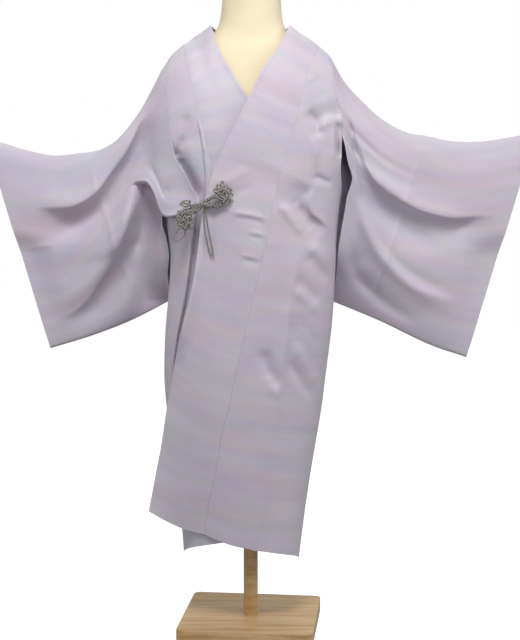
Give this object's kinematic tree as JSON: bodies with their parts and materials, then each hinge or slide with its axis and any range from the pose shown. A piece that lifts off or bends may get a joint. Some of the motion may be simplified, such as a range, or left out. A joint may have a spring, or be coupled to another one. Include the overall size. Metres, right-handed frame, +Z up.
{
  "type": "kimono overcoat on a dress form",
  "caption": "Lined silk kimono overcoat with a wide wrapped collar, wide hanging sleeves and a braided side tie, standing on a limbless dress form.",
  "frame": {"origin": "centre of the wooden base's underside, on the floor", "axes": "+Z up along the pole, the front of the coat faces -Y, +X is the wearer's left (the viewer's right)"},
  "size_m": [1.1965, 0.3084, 1.45],
  "materials": {
    "silk": "soft satin with faint weft-wise bands",
    "tie_cord": "braided, slightly lustrous",
    "form": "smooth, matt",
    "stand_wood": "clear varnish"
  },
  "bodies": {
    "root": {"body_right": "silk", "body_left": "silk", "collar_right": "silk", "collar_left": "silk", "sleeve_right": "silk", "sleeve_left": "silk", "tie_knot_front": "tie_cord", "tie_knot_side": "tie_cord", "tie_join": "tie_cord", "tie_end_outer": "tie_cord", "tie_end_inner": "tie_cord", "form_torso": "form", "form_pole": "stand_wood", "form_base": "stand_wood"}
  },
  "joints": []
}
